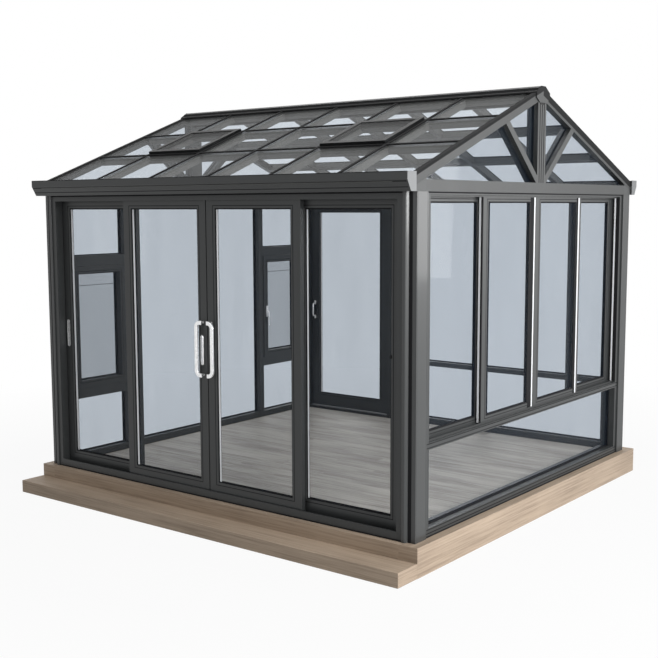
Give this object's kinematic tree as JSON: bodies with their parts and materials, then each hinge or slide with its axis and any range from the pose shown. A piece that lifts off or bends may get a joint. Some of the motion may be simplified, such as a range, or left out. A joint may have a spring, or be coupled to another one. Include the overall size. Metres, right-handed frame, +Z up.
{
  "type": "conservatory",
  "caption": "Free-standing aluminium conservatory: glazed walls, gable glass roof with vents, sliding front doors and a hinged back door, on a timber plinth with a front step.",
  "frame": {"origin": "middle of the footprint, at ground level", "axes": "+X along the front to the right as seen from outside, +Y from the front to the back, +Z up"},
  "size_m": [3.77, 3.771, 3.23],
  "materials": {
    "anthracite": "satin powder coat",
    "dark_anthracite": "satin powder coat",
    "pale_aluminium": "satin",
    "clear_glass": "clear",
    "plinth_timber": "matt, fine grain",
    "deck_timber": "matt, boards along X"
  },
  "bodies": {
    "room": {"plinth_platform": "plinth_timber", "front_step": "plinth_timber", "deck_floor": "deck_timber", "corner_post_front_left": "anthracite", "corner_post_front_right": "anthracite", "corner_post_back_left": "anthracite", "corner_post_back_right": "anthracite", "front_track_frame": "anthracite", "left_wall_frame": "anthracite", "left_wall_glass": "clear_glass", "casement_front_frame": "anthracite", "casement_front_glass": "clear_glass", "casement_back_frame": "anthracite", "casement_back_glass": "clear_glass", "right_wall_frame": "anthracite", "right_lower_glass": "clear_glass", "window_sash_1_frame": "anthracite", "window_sash_1_glass": "clear_glass", "window_sash_2_frame": "anthracite", "window_sash_2_glass": "clear_glass", "window_sash_3_frame": "anthracite", "window_sash_3_glass": "clear_glass", "window_sash_4_frame": "anthracite", "window_sash_4_glass": "clear_glass", "back_wall_frame": "anthracite", "back_wall_glass": "clear_glass", "front_eave_beam": "anthracite", "back_eave_beam": "anthracite", "gable_truss_left": "anthracite", "gable_truss_right": "anthracite", "gable_glass_left": "clear_glass", "gable_glass_right": "clear_glass", "front_roof_rafters": "anthracite", "back_roof_rafters": "anthracite", "front_roof_glass": "clear_glass", "back_roof_glass": "clear_glass", "roof_vent_1_frame": "dark_anthracite", "roof_vent_1_glass": "clear_glass", "roof_vent_2_frame": "dark_anthracite", "roof_vent_2_glass": "clear_glass", "ridge_beam": "dark_anthracite", "front_gutter": "anthracite", "back_gutter": "anthracite"},
    "leaf_1": {"leaf_1_frame": "anthracite", "leaf_1_glass": "clear_glass", "leaf_1_flush_pull": "pale_aluminium"},
    "leaf_2": {"leaf_2_frame": "anthracite", "leaf_2_glass": "clear_glass", "leaf_2_pull_handle": "pale_aluminium"},
    "leaf_3": {"leaf_3_frame": "anthracite", "leaf_3_glass": "clear_glass", "leaf_3_pull_handle": "pale_aluminium"},
    "leaf_4": {"leaf_4_frame": "anthracite", "leaf_4_glass": "clear_glass"},
    "back_door": {"back_door_leaf": "anthracite", "back_door_glass": "clear_glass", "back_door_handle": "dark_anthracite"}
  },
  "joints": [
    {"name": "leaf_1_slide", "type": "slide", "parent": "room", "child": "leaf_1", "axis": [-1, 0, 0], "range_m": [-0.79535, 0]},
    {"name": "leaf_2_slide", "type": "slide", "parent": "room", "child": "leaf_2", "axis": [-1, 0, 0], "range_m": [0, 0.79535]},
    {"name": "leaf_3_slide", "type": "slide", "parent": "room", "child": "leaf_3", "axis": [1, 0, 0], "range_m": [0, 0.79535]},
    {"name": "leaf_4_slide", "type": "slide", "parent": "room", "child": "leaf_4", "axis": [1, 0, 0], "range_m": [-0.79535, 0]},
    {"name": "back_door_hinge", "type": "hinge", "parent": "room", "child": "back_door", "pos_m": [-0.6727, 1.7815, 1.3], "axis": [0, 0, -1], "range_deg": [0, 95]}
  ]
}
